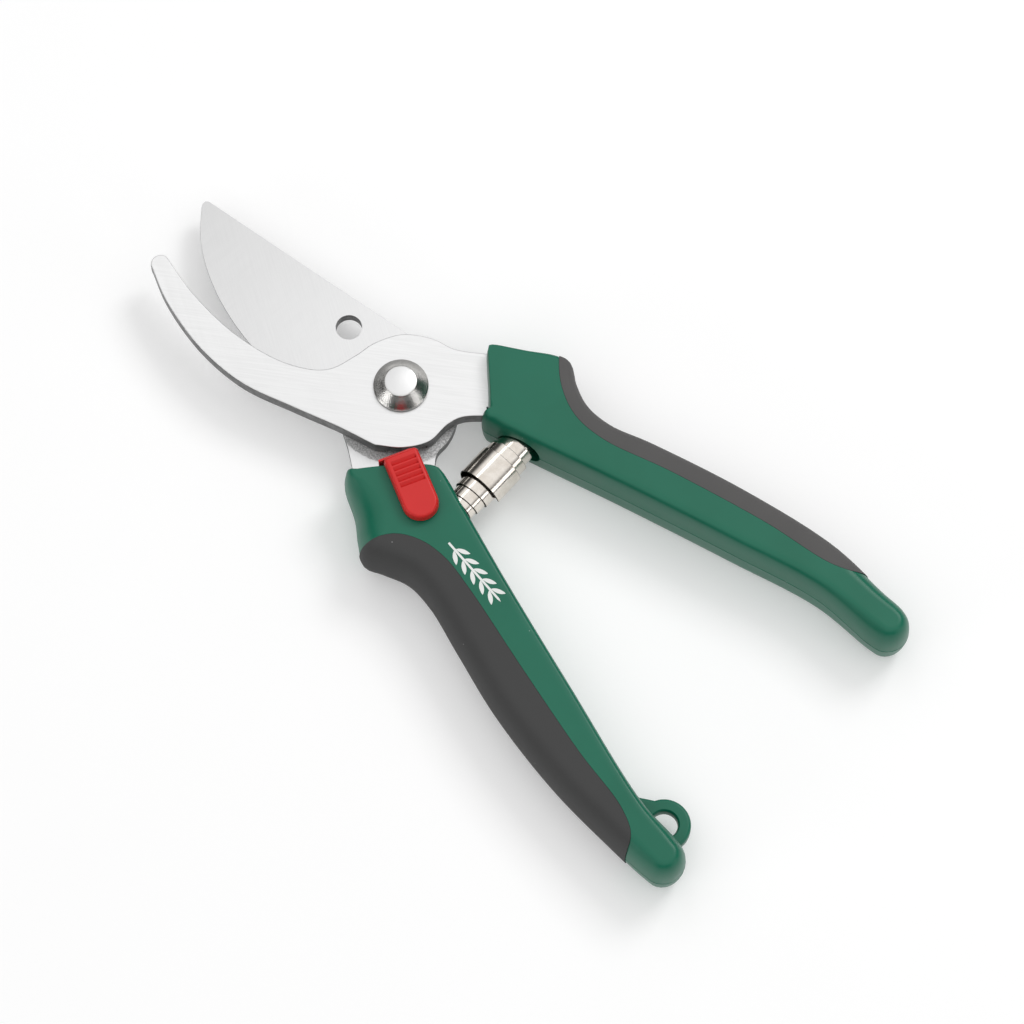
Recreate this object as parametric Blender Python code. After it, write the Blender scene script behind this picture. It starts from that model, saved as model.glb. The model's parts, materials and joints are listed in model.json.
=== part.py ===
"""Bypass pruner, 8-inch class, shown open.

Frame: +X runs forward to the blade tip, +Y to the hook's side of the jaws, +Z up as the
pruner lies flat.  The origin is the middle of the bottom of its bounding box.  All shapes
are worked out in millimetres from the pivot axis, and become metres when a mesh is made.
Two halves turn on the pivot bolt: the hook half (hook blade and upper handle) and the
blade half (cutting blade and lower handle), which also carries the sliding lock.
"""
import math

import bmesh
import bpy
import numpy as np

MM = 0.001
PIVOT = (0.03117, -0.0002)         # pivot axis in the part's frame, metres

# Heights above the surface that the pruner lies on, mm
HANDLE_HEIGHT = 18.0
PARTING = 9.0                    # joint face of the handle shells
BLADE_BOTTOM, BLADE_TOP = 5.3, 8.5
HOOK_BOTTOM, HOOK_TOP = 8.8, 13.2

GAP = 0.3                        # clearance between neighbouring pieces
PLATE_CHAMFER = 0.4
BEVEL_WIDTH = 5.5                # of the cutting edge, on the blade's far face
WALL_DRAFT = 0.5                 # lean of a handle wall from parting face to top
GRIP_SKIN = 2.0                  # depth of the soft skin let into a handle
GRIP_PROUD = 0.25                # how far the skin stands out of the hard plastic

# Pivot
BOLT_RADIUS = 3.7
BOLT_HOLE = BOLT_RADIUS + GAP
FLANGE_RADIUS = 6.8
HUB_RADIUS = 14.6                # of the cutting blade, round the pivot
HOLE_CENTRE, HOLE_RADIUS = (21.8, -3.1), 3.3    # through the cutting blade
WASHER_RADIUS, WASHER_THICKNESS = 7.5, 0.7
NUT_RADIUS = 6.35                # across its corners, halved
CLOSING_TURN = math.radians(22)  # blade half, from fully open to closed

# Pins that key each tang in its handle
PIN_RADIUS = 1.6
HOOK_PIN = (-58.0, -25.7)
BLADE_PIN = (-58.0, 26.7)

# Volute spring, on an axis along Y between the handles
SPRING_X, SPRING_Z = -31.0, PARTING
SPRING_LOW, SPRING_HIGH = -12.9, 9.6
SPRING_STRIP = 0.45
SPRING_WIDTH = 4.6
SPRING_RADIUS_MIDDLE, SPRING_RADIUS_END = 5.9, 3.0
SPRING_TURNS = 3.4               # turns from the middle to each end
UPPER_SEAT, LOWER_SEAT = -14.0, 12.0    # floors of the recesses that hold its ends
UPPER_MOUTH, LOWER_MOUTH = 5.5, 4.6     # radii of those recesses

# Lock: the button slides forwards, at LOCK_ANGLE, on the head of the lower handle
LOCK_CENTRE = (-21.6, 17.3)
LOCK_ANGLE = math.radians(-23)
LOCK_TRAVEL = 4.5
BUTTON_BOTTOM, BUTTON_TOP = HANDLE_HEIGHT + GAP, 21.0
CATCH_BOTTOM, CATCH_TOP = 8.95, 10.35
CATCH_TIP = 10.85                # reach of the catch ahead of the button's centre
NOSE_HALF_WIDTH = 1.5
SCREW_AHEAD = 0.5                # catch screw, ahead of the button's centre

# Hanging loop, beside the rear end of the lower handle
LOOP_CENTRE = (-122.8, 33.0)
LOOP_RADIUS, LOOP_HOLE_RADIUS = 6.4, 3.6
LOOP_BOTTOM, LOOP_TOP = 4.9, 8.5


# ---------------------------------------------------------------- outlines
def spline(points, step, closed=False):
    """Centripetal curve through points of any dimension, sampled about every step mm."""
    pts = np.array(points, dtype=float)
    if closed:
        pts = np.vstack([pts[-1], pts, pts[0], pts[1]])
    else:
        pts = np.vstack([2 * pts[0] - pts[1], pts, 2 * pts[-1] - pts[-2]])
    curve = []
    for a, b, c, d in zip(pts[:-3], pts[1:-2], pts[2:-1], pts[3:]):
        t1 = math.sqrt(np.linalg.norm((b - a)[:2])) or 1.0
        t2 = t1 + math.sqrt(np.linalg.norm((c - b)[:2]))
        t3 = t2 + (math.sqrt(np.linalg.norm((d - c)[:2])) or 1.0)
        count = max(1, round(np.linalg.norm((c - b)[:2]) / step))
        for t in np.linspace(t1, t2, count, endpoint=False):
            ab = a + (b - a) * t / t1
            bc = b + (c - b) * (t - t1) / (t2 - t1)
            cd = c + (d - c) * (t - t2) / (t3 - t2)
            abc = ab + (bc - ab) * t / t2
            bcd = bc + (cd - bc) * (t - t1) / (t3 - t1)
            curve.append(abc + (bcd - abc) * (t - t1) / (t2 - t1))
    if not closed:
        curve.append(pts[-2])
    return np.array(curve)


def arc(centre, radius, start, end, steps):
    """Points on an arc, angles in degrees, both ends included."""
    angles = np.radians(np.linspace(start, end, steps + 1))
    return np.stack([centre[0] + radius * np.cos(angles), centre[1] + radius * np.sin(angles)], 1)


def circle(centre, radius, steps):
    return arc(centre, radius, 0, 360, steps)[:-1]


def inset(outline, distance):
    """Outline moved inwards by one distance, or by one per point (counter-clockwise outline)."""
    xy = np.asarray(outline, dtype=float)[:, :2]
    before = xy - np.roll(xy, 1, axis=0)
    after = np.roll(xy, -1, axis=0) - xy
    before /= np.linalg.norm(before, axis=1)[:, None]
    after /= np.linalg.norm(after, axis=1)[:, None]
    middle = before + after
    middle /= np.linalg.norm(middle, axis=1)[:, None]
    stretch = 1.0 / np.maximum(np.sum(middle * after, axis=1), 0.6)
    inward = np.stack([-middle[:, 1], middle[:, 0]], 1)
    return xy + inward * (np.asarray(distance) * stretch).reshape(-1, 1)


def unground(points):
    """Outline points that take no share of the bevel."""
    return np.column_stack([points, np.zeros(len(points))])


def turned(points, angle):
    """Points turned about the pivot."""
    c, s = math.cos(angle), math.sin(angle)
    return np.asarray(points, dtype=float) @ np.array([[c, s], [-s, c]])


def on_lock(points):
    """Points given ahead of and left of the lock button's centre, as pivot coordinates."""
    return turned(points, LOCK_ANGLE) + np.array(LOCK_CENTRE)


# ---------------------------------------------------------------- meshes
def material(name, colour, roughness, metallic=0.0):
    mat = bpy.data.materials.new(name)
    mat.use_nodes = True
    shader = mat.node_tree.nodes["Principled BSDF"]
    shader.inputs["Base Color"].default_value = (*colour, 1.0)
    shader.inputs["Roughness"].default_value = roughness
    shader.inputs["Metallic"].default_value = metallic
    return mat


def mesh_object(name, verts, faces, parent=None, mat=None):
    """An object from vertices in mm about its parent's axis."""
    mesh = bpy.data.meshes.new(name)
    mesh.from_pydata([tuple(float(v) * MM for v in vert) for vert in verts], [], faces)
    bm = bmesh.new()
    bm.from_mesh(mesh)
    bmesh.ops.recalc_face_normals(bm, faces=bm.faces)
    bm.to_mesh(mesh)
    bm.free()
    mesh.shade_smooth()
    mesh.set_sharp_from_angle(angle=math.radians(35))
    obj = bpy.data.objects.new(name, mesh)
    bpy.context.collection.objects.link(obj)
    obj.parent = parent
    if mat:
        obj.data.materials.append(mat)
    return obj


def stack(name, rings, parent=None, mat=None):
    """Closed solid through outlines of equal length, each given with its height."""
    count = len(rings[0][0])
    verts = [(p[0], p[1], z) for outline, z in rings for p in outline]
    faces = [list(range(count))[::-1]]
    for level in range(len(rings) - 1):
        low, high = level * count, (level + 1) * count
        for i in range(count):
            j = (i + 1) % count
            faces.append((low + i, low + j, high + j, high + i))
    faces.append([(len(rings) - 1) * count + i for i in range(count)])
    return mesh_object(name, verts, faces, parent, mat)


def plate(name, outline, bottom, top, parent=None, mat=None):
    return stack(name, [(outline, bottom), (outline, top)], parent, mat)


def turned_solid(name, profile, steps, parent=None, mat=None, place=None):
    """Solid of revolution about Z.  A profile that starts and ends at radius 0 is closed
    by fans, any other profile is closed into a ring."""
    place = place or (lambda x, y, z: (x, y, z))
    solid = profile[0][0] == 0
    inner = profile[1:-1] if solid else profile
    verts, faces = [], []
    for radius, height in inner:
        verts += [place(p[0], p[1], height) for p in circle((0, 0), radius, steps)]
    bands = len(inner) - 1 if solid else len(inner)
    for band in range(bands):
        low, high = band * steps, ((band + 1) % len(inner)) * steps
        for i in range(steps):
            j = (i + 1) % steps
            faces.append((low + i, low + j, high + j, high + i))
    if solid:
        for end, base in ((0, 0), (-1, (len(inner) - 1) * steps)):
            tip = len(verts)
            verts.append(place(0, 0, profile[end][1]))
            faces += [(tip, base + i, base + (i + 1) % steps) for i in range(steps)]
    return mesh_object(name, verts, faces, parent, mat)


def boolean(obj, cutter, operation="DIFFERENCE"):
    """Boolean modifier, with the other object kept out of the model as a wire guide."""
    mod = obj.modifiers.new(operation.lower(), "BOOLEAN")
    mod.operation = operation
    mod.solver = "EXACT"
    mod.object = cutter
    cutter.hide_render = True
    cutter.display_type = "WIRE"


def axis_empty(name, parent=None, place=(0.0, 0.0, 0.0)):
    empty = bpy.data.objects.new(name, None)
    bpy.context.collection.objects.link(empty)
    empty.parent = parent
    empty.location = place
    return empty


# ---------------------------------------------------------------- blades
def hook_tang():
    """Tang of the hook blade inside the upper handle, from shoulder to shoulder."""
    front = np.array([(-18.9, -11.0), (-23.5, -16.0), (-37.0, -17.4), (-46.0, -19.4), (-74.0, -27.9)])
    end = arc((-75.0, -30.5), 2.6, 75, 255, 4)
    back = np.array([(-45.0, -25.6), (-30.0, -22.6), (-17.0, -21.5), (-10.4, -18.6)])
    return np.vstack([front, end, back])


def hook_outline(step):
    """Hook, hub and tang of the upper jaw, counter-clockwise."""
    tip = arc((65.6, 19.3), 2.5, -75, 55, 5)
    outer = spline([(67.0, 21.3), (57.6, 25.1), (42.7, 27.8), (28.5, 27.0), (14.6, 22.4),
                    (2.8, 18.1), (-6.5, 15.3)], step)[1:]
    hub = spline([(-6.5, 15.3), (-11.9, 10.9), (-15.2, 5.2), (-15.2, -1.0), (-16.4, -4.9),
                  (-20.5, -9.6)], step / 2)[1:]
    neck = spline([(-8.3, -20.5), (-2.3, -16.3), (3.5, -14.4), (9.5, -10.1), (12.9, -3.3),
                   (13.8, 2.3), (16.2, 9.8), (24.5, 15.7), (38.9, 19.2), (54.1, 19.1),
                   (66.2, 16.9)], step * 0.75)[:-1]
    return np.vstack([tip, outer, hub, hook_tang(), neck])


def hook_blade(parent, mat, step=3.2):
    outline = hook_outline(step)
    blade = stack("hook_blade", [(outline, HOOK_BOTTOM), (outline, HOOK_TOP - PLATE_CHAMFER),
                                 (inset(outline, PLATE_CHAMFER), HOOK_TOP)], parent, mat)
    boolean(blade, plate("hook_bore_cut", circle((0, 0), BOLT_HOLE, 32), 0, 20, parent))
    boolean(blade, plate("hook_pin_cut", circle(HOOK_PIN, PIN_RADIUS + GAP, 16), 5, 20, parent))
    half = NOSE_HALF_WIDTH + 0.4
    reach = CATCH_TIP + LOCK_TRAVEL + 0.5
    nose = on_lock([(8.0, -half), (reach, -half), (reach, half), (8.0, half)])
    for label, angle in (("open", 0.0), ("closed", CLOSING_TURN)):
        boolean(blade, plate("catch_notch_" + label, turned(nose, angle), 8.0, CATCH_TOP + 0.35, parent))


def blade_tang():
    """Tang of the cutting blade inside the lower handle, from shoulder to shoulder."""
    front = np.array([(-9.4, 21.3), (-17.0, 25.8), (-29.0, 26.5), (-45.0, 28.4), (-75.0, 34.2)])
    end = arc((-75.6, 31.2), 3.0, 80, 250, 4)
    back = np.array([(-45.0, 20.4), (-30.0, 17.2), (-23.0, 13.5), (-20.0, 10.4)])
    return np.vstack([front, end, back])


def blade_outline(step):
    """Cutting blade, hub and tang, counter-clockwise, with each point's share of the bevel."""
    tip = [(71.2, -2.1, 0.0), (71.9, -1.5, 0.0), (71.9, -0.5, 0.0)]
    edge = spline([(71.3, 0.4, 0.0), (66.1, 5.8, 0.55), (59.4, 10.4, 1.0), (48.5, 14.9, 1.0),
                   (34.7, 17.5, 1.0), (24.0, 17.1, 0.6), (15.0, 15.0, 0.0)], step)
    heel = spline([(15.0, 15.0, 0.0), (8.0, 15.4, 0.0), (0.9, 18.4, 0.0), (-7.3, 23.5, 0.0)], step)[1:]
    hub_rear = spline([(-20.9, 9.2, 0), (-17.6, 5.0, 0), (-17.2, 1.1, 0), (-15.8, -3.0, 0),
                       (-12.0, -8.4, 0)], step / 2)[:-1]
    hub = arc((0, 0), HUB_RADIUS, 215, 300, 8)
    spine = [(10.8, -12.1, 0.0), (40.3, -7.1, 0.0)]
    return np.vstack([tip, edge, heel, unground(blade_tang()), hub_rear, unground(hub), spine])


def cutting_blade(parent, mat, step=3.2):
    outline = blade_outline(step)
    ground = inset(outline, outline[:, 2] * BEVEL_WIDTH)
    blade = stack("cutting_blade", [(ground, BLADE_BOTTOM), (outline[:, :2], BLADE_TOP - 0.3),
                                    (outline[:, :2], BLADE_TOP)], parent, mat)
    boolean(blade, plate("blade_bore_cut", circle((0, 0), BOLT_HOLE, 32), 0, 20, parent))
    boolean(blade, plate("blade_hole_cut", circle(HOLE_CENTRE, HOLE_RADIUS, 24), 0, 20, parent))
    boolean(blade, plate("blade_pin_cut", circle(BLADE_PIN, PIN_RADIUS + GAP, 16), 0, 20, parent))


# ---------------------------------------------------------------- pivot
def pivot_pieces(parent, steel, nickel, nylon):
    head = HOOK_TOP + GAP
    turned_solid("pivot_bolt", [(0, 0.9), (BOLT_RADIUS - 0.5, 0.9), (BOLT_RADIUS, 1.4),
                                (BOLT_RADIUS, head), (FLANGE_RADIUS, head),
                                (FLANGE_RADIUS, head + 0.5), (4.3, head + 3.0), (3.8, head + 3.4),
                                (2.0, head + 3.7), (0, head + 3.8)], 32, parent, nickel)
    washer_top = BLADE_BOTTOM - GAP
    washer_bottom = washer_top - WASHER_THICKNESS
    turned_solid("pivot_washer", [(BOLT_HOLE, washer_bottom), (WASHER_RADIUS, washer_bottom),
                                  (WASHER_RADIUS, washer_top), (BOLT_HOLE, washer_top)], 32, parent, steel)
    nut_top = washer_bottom - GAP
    nut = plate("pivot_nut", circle((0, 0), NUT_RADIUS, 6), 0.6, nut_top, parent, steel)
    boolean(nut, turned_solid("nut_bore_cut", [(0, -1), (4.9, -1), (4.9, 1.8), (BOLT_HOLE, 1.8),
                                               (BOLT_HOLE, 9), (0, 9)], 32, parent))
    turned_solid("nut_lock_ring", [(BOLT_HOLE, 0.7), (4.6, 0.7), (4.6, 1.5), (BOLT_HOLE, 1.5)],
                 32, parent, nylon)


# ---------------------------------------------------------------- handles
# Outline of each handle at its parting face.  A point is x, y, how far the top edge stands
# in from the wall, and the power of the wall's curve: 2 is an ellipse, higher is squarer.
def rounded_end(centre, radius, start, end):
    """Control points round the rear end of a handle."""
    return [(x, y, 3.4, 2.6) for x, y in arc(centre, radius, start, end, 5)]


UPPER_OUTLINE = [
    (-19.9, -9.7, 1.2, 4.5), (-19.8, -8.2, 2.2, 3.2), (-21.6, -7.2, 2.6, 3.0),
    (-24.6, -7.9, 2.6, 4.0), (-36.0, -11.5, 2.6, 5.0), (-57.4, -18.3, 2.6, 5.0),
    (-86.7, -27.0, 2.6, 5.0), (-110.0, -33.3, 2.8, 4.0),
    *rounded_end((-127.0, -39.5), 5.5, 88, 268),
    (-121.0, -45.0, 3.8, 2.6), (-104.0, -45.2, 4.8, 2.6),
    (-78.9, -40.3, 4.8, 2.6), (-54.2, -33.0, 4.6, 2.6), (-43.7, -29.2, 4.2, 2.6),
    (-36.3, -28.8, 3.8, 2.6), (-29.9, -31.1, 3.4, 2.8), (-25.7, -33.6, 2.4, 3.0),
    (-21.9, -32.6, 2.2, 3.0), (-15.6, -28.0, 1.8, 4.0), (-9.6, -23.6, 1.2, 5.0),
    (-8.3, -21.8, 1.0, 6.0), (-9.2, -20.3, 0.8, 6.0),
]
LOWER_OUTLINE = [
    (-8.2, 23.8, 1.0, 5.0), (-6.9, 25.8, 1.6, 4.0), (-8.6, 27.8, 3.6, 2.7),
    (-16.1, 31.7, 7.0, 2.1), (-21.1, 35.5, 7.0, 2.1), (-25.3, 37.8, 5.4, 2.3),
    (-29.8, 35.9, 4.8, 2.6), (-36.2, 33.5, 4.6, 2.6), (-44.2, 33.9, 4.6, 2.6),
    (-57.2, 37.4, 4.8, 2.6), (-75.1, 42.1, 4.8, 2.6), (-97.5, 45.3, 4.8, 2.6),
    (-117.0, 45.8, 4.2, 2.6),
    *rounded_end((-128.9, 40.0), 5.6, 82, 274),
    (-117.0, 33.9, 2.8, 4.0),
    (-84.0, 25.5, 2.6, 5.0), (-55.5, 17.8, 2.6, 5.0), (-34.9, 11.8, 2.6, 5.0),
    (-24.0, 8.8, 2.4, 5.0), (-21.7, 9.2, 1.0, 6.0),
]

# Line on the face of each handle where the soft skin begins, from front to rear
UPPER_GRIP_EDGE = [(-20.8, -37.0), (-21.8, -33.6), (-24.6, -30.2), (-29.4, -26.4), (-36.7, -23.5),
                   (-45.9, -23.8), (-63.7, -29.5), (-88.8, -36.2), (-108.0, -40.0),
                   (-114.2, -43.6), (-117.0, -49.0)]
LOWER_GRIP_EDGE = [(-22.6, 41.0), (-23.7, 36.2), (-27.4, 29.3), (-33.0, 25.9), (-40.5, 24.8),
                   (-50.7, 26.3), (-73.3, 31.4), (-97.7, 36.6), (-115.0, 39.5),
                   (-121.1, 43.0), (-123.4, 51.0)]


def wall_rings(outline, half_height, levels, grow=0.0, soften=1.0):
    """Rings of a handle from its parting face up, following each point's own wall curve."""
    rings = []
    edge, power = outline[:, 2] * soften, outline[:, 3]
    for level in levels:
        curve = 1.0 - np.power(1.0 - np.power(level, power), 1.0 / power)
        rings.append((inset(outline, edge * curve + WALL_DRAFT * level - grow), half_height * level))
    return rings


def half_shell(name, outline, upwards, parent, mat, levels):
    """Front (upwards) or back shell of a handle, split at the parting face."""
    sign = 1 if upwards else -1
    rings = [(ring, PARTING + sign * max(height, GAP / 2))
             for ring, height in wall_rings(outline, HANDLE_HEIGHT / 2, levels)]
    return stack(name, rings if upwards else rings[::-1], parent, mat)


def whole_body(name, outline, half_height, levels, parent, grow, soften=1.0):
    """Both halves of a handle's form in one solid."""
    upper = [(ring, PARTING + height)
             for ring, height in wall_rings(outline, half_height, levels, grow, soften)]
    lower = [(ring, PARTING - height)
             for ring, height in wall_rings(outline, half_height, levels[1:], grow, soften)]
    return stack(name, lower[::-1] + upper, parent)


def grip_area(edge, side, step, shrink=0.0):
    """Plan area of the soft skin: its edge line, closed far outside the handle."""
    line = spline(edge, step)
    outside = np.array([(edge[-1][0], side * 60.0), (edge[0][0], side * 60.0)])
    area = np.vstack([line, outside])
    if side > 0:
        area = area[::-1]
    return inset(area, shrink)


def handle(prefix, outline_points, edge, side, parent, plastic, rubber):
    """The two hard shells and the soft skin of one handle."""
    outline = spline(outline_points, 4.2, closed=True)
    levels = (0.0, 0.6, 0.85, 0.97, 1.0)
    front = half_shell(prefix + "_front_shell", outline, True, parent, plastic, levels)
    back = half_shell(prefix + "_back_shell", outline, False, parent, plastic, levels)

    core_height = HANDLE_HEIGHT / 2 - GRIP_SKIN
    core_levels = (0.0, 0.7, 1.0)
    by_skin = outline[(outline[:, 0] < -14.0) & (np.abs(outline[:, 1]) > 12.0)]
    core = whole_body(prefix + "_core", by_skin, core_height, core_levels, parent, -GRIP_SKIN, 0.15)
    recess = plate(prefix + "_skin_cut", grip_area(edge, side, 4.2), -1, HANDLE_HEIGHT + 1, parent)
    boolean(recess, core)
    boolean(front, recess)
    boolean(back, recess)

    grip = whole_body(prefix + "_grip", outline, HANDLE_HEIGHT / 2, levels, parent, GRIP_PROUD)
    grip.data.materials.append(rubber)
    boolean(grip, plate(prefix + "_grip_area", grip_area(edge, side, 4.2, GAP), -2,
                        HANDLE_HEIGHT + 2, parent), "INTERSECT")
    boolean(grip, whole_body(prefix + "_core_clear", by_skin, core_height + GAP, core_levels,
                             parent, GAP - GRIP_SKIN, 0.15))
    return front, back


def along_y(x, y, z):
    """Places a solid turned about Z on the spring's axis, Z becoming Y."""
    return SPRING_X + x, z, SPRING_Z - y


def spring_seat(name, prefix, shells, floor, outwards, mouth, parent, mat):
    """Stud in a round recess of the handle's inner wall, on the spring's axis."""
    def level(height):
        return floor + outwards * height
    recess = turned_solid(prefix + "_seat_cut", [(0, level(-1.1)), (1.3, level(-1.1)), (1.3, level(0)),
                                                 (mouth, level(0)), (mouth, level(9)), (0, level(9))],
                          24, parent, place=along_y)
    for shell in shells:
        boolean(shell, recess)
    turned_solid(name, [(0, level(-0.8)), (1.0, level(-0.8)), (1.0, level(GAP)), (3.4, level(GAP)),
                        (3.4, level(1.1)), (1.9, level(1.1)), (1.9, level(5.0)),
                        (1.4, level(5.6)), (0, level(5.6))], 16, parent, mat, place=along_y)


def tang_pin(name, prefix, centre, shells, parent, mat):
    bore = plate(prefix + "_pin_bore", circle(centre, PIN_RADIUS + GAP, 16), 3.7, 14.3, parent)
    for shell in shells:
        boolean(shell, bore)
    plate(name, circle(centre, PIN_RADIUS, 16), 4.0, 14.0, parent, mat)


def hook_pocket():
    """Plan of the space in the upper head for the hook's shoulder and tang."""
    return np.vstack([[(-16.4, -4.9), (-20.5, -9.6)], hook_tang()])


def tang_pocket(prefix, tang, bottom, top, shells, parent):
    pocket = plate(prefix + "_tang_cut", inset(tang, -GAP), bottom, top, parent)
    for shell in shells:
        boolean(shell, pocket)


def hanging_loop(shell, parent):
    """Loop beside the handle's rear end, on the back shell."""
    root = [(-112.0, 33.5), (-114.0, 38.0), (-127.0, 39.5)]
    outer = np.vstack([arc(LOOP_CENTRE, LOOP_RADIUS, 165, 335, 12), root])
    loop = plate("loop_add", outer, LOOP_BOTTOM, LOOP_TOP, parent)
    chord = [(-120.0, 34.5), (-125.4, 35.6)]
    hole = np.vstack([arc(LOOP_CENTRE, LOOP_HOLE_RADIUS, 150, 375, 14), chord])
    boolean(shell, loop, "UNION")
    boolean(shell, plate("loop_hole_cut", hole, 3, 12, parent))


# ---------------------------------------------------------------- spring
def volute_spring(parent, mat, per_turn=20):
    """Strip wound into a barrel: widest in the middle, stepping in towards both ends."""
    middle = (SPRING_LOW + SPRING_HIGH) / 2
    reach = (SPRING_HIGH - SPRING_LOW - SPRING_WIDTH) / 2
    wide_pitch = SPRING_WIDTH + 0.5
    tail_pitch = (reach - wide_pitch) / (SPRING_TURNS - 1)
    rings = []
    for turn in np.linspace(-SPRING_TURNS, SPRING_TURNS, int(2 * SPRING_TURNS * per_turn) + 1):
        size = abs(turn)
        away = wide_pitch * size if size < 1 else wide_pitch + tail_pitch * (size - 1)
        centre = middle + math.copysign(away, turn)
        radius = SPRING_RADIUS_MIDDLE - (SPRING_RADIUS_MIDDLE - SPRING_RADIUS_END) * size / SPRING_TURNS
        c, s = math.cos(turn * 2 * math.pi), math.sin(turn * 2 * math.pi)
        low, high = centre - SPRING_WIDTH / 2, centre + SPRING_WIDTH / 2
        inner, outer = radius - SPRING_STRIP / 2, radius + SPRING_STRIP / 2
        rings.append([along_y(r * c, r * s, y)
                      for r, y in ((inner, low), (outer, low), (outer, high), (inner, high))])
    verts = [corner for ring in rings for corner in ring]
    faces = [(0, 1, 2, 3)]
    for i in range(len(rings) - 1):
        for j in range(4):
            k = (j + 1) % 4
            faces.append((4 * i + j, 4 * i + k, 4 * i + 4 + k, 4 * i + 4 + j))
    last = 4 * (len(rings) - 1)
    faces.append((last, last + 1, last + 2, last + 3))
    mesh_object("volute_spring", verts, faces, parent, mat)


# ---------------------------------------------------------------- lock
def lock_space(shell, parent):
    """Channel of the catch, slot of the button's stem and pocket of the detent spring."""
    def box(name, back, front, right, left, bottom, top):
        corners = on_lock([(back, right), (front, right), (front, left), (back, left)])
        return plate(name, corners, bottom, top, parent)
    boolean(shell, box("catch_channel", -6.4, 14.0, -4.0, 4.0, 8.4, 10.65))
    boolean(shell, box("stem_slot", -2.9, 14.1, -3.3, 3.3, 10.3, 19.0))
    boolean(shell, box("detent_pocket", -2.6, 2.6, -4.9, -3.0, 10.4, 14.4))


def button_outline():
    """Thumb pad in plan: rounded rear, small corners in front, counter-clockwise."""
    rear = arc((-5.6, 0), 4.5, 90, 270, 10)
    front = np.vstack([arc((6.9, -3.3), 1.2, -90, 0, 2), arc((6.9, 3.4), 1.1, 0, 90, 2)])
    return np.vstack([rear, front])


def lock_pieces(parent, red, steel):
    """Button, catch and their screw, about the lock's own empty."""
    pad = button_outline()
    button = stack("lock_button", [(inset(pad, 0.3), BUTTON_BOTTOM), (pad, BUTTON_BOTTOM + 0.5),
                                   (inset(pad, 0.3), BUTTON_TOP - 0.8),
                                   (inset(pad, 1.1), BUTTON_TOP)], parent, red)
    upper = np.array([(-2.5, -3), (8.6, -3), (8.6, 5.4), (8.1, 5.4), (8.1, 3), (-2.5, 3)])
    boolean(button, plate("stem_upper", upper, 13.6, BUTTON_BOTTOM + 0.6, parent), "UNION")
    lower = np.array([(-2.4, -2.9), (3.0, -2.9), (3.0, 2.9), (-2.4, 2.9)])
    boolean(button, plate("stem_lower", lower, CATCH_TOP + GAP, 14.2, parent), "UNION")
    boolean(button, plate("screw_blind_hole", circle((SCREW_AHEAD, 0), 1.5, 12), 9, 15.3, parent))

    nose = NOSE_HALF_WIDTH
    catch_plan = [(-6.0, -3.6), (4.4, -3.6), (5.6, -nose), (CATCH_TIP - 0.4, -nose), (CATCH_TIP, 0.4 - nose),
                  (CATCH_TIP, nose - 0.4), (CATCH_TIP - 0.4, nose), (5.6, nose), (4.4, 3.6), (-6.0, 3.6)]
    catch = plate("lock_catch", catch_plan, CATCH_BOTTOM, CATCH_TOP, parent, steel)
    boolean(catch, plate("catch_bore", circle((SCREW_AHEAD, 0), 1.5, 12), 8, 12, parent))
    boolean(catch, plate("catch_counterbore", circle((SCREW_AHEAD, 0), 2.5, 16), 8,
                         CATCH_BOTTOM + 0.8, parent))
    turned_solid("lock_screw", [(0, CATCH_BOTTOM), (2.2, CATCH_BOTTOM), (2.2, CATCH_BOTTOM + 0.5),
                                (1.2, CATCH_BOTTOM + 0.5), (1.2, 14.8), (0, 15.0)], 12, parent, steel,
                 place=lambda x, y, z: (x + SCREW_AHEAD, y, z))


def detent_spring(parent, mat):
    """Leaf with a bump, standing beside the stem."""
    line = spline([(-2.3, -4.4), (-1.0, -4.3), (0.0, -3.6), (1.0, -4.3), (2.3, -4.4)], 0.5)
    leaf = np.vstack([line, (line + np.array([0, -0.25]))[::-1]])
    plate("lock_detent_spring", on_lock(leaf)[::-1], 11.0, 14.0, parent, mat)


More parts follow.
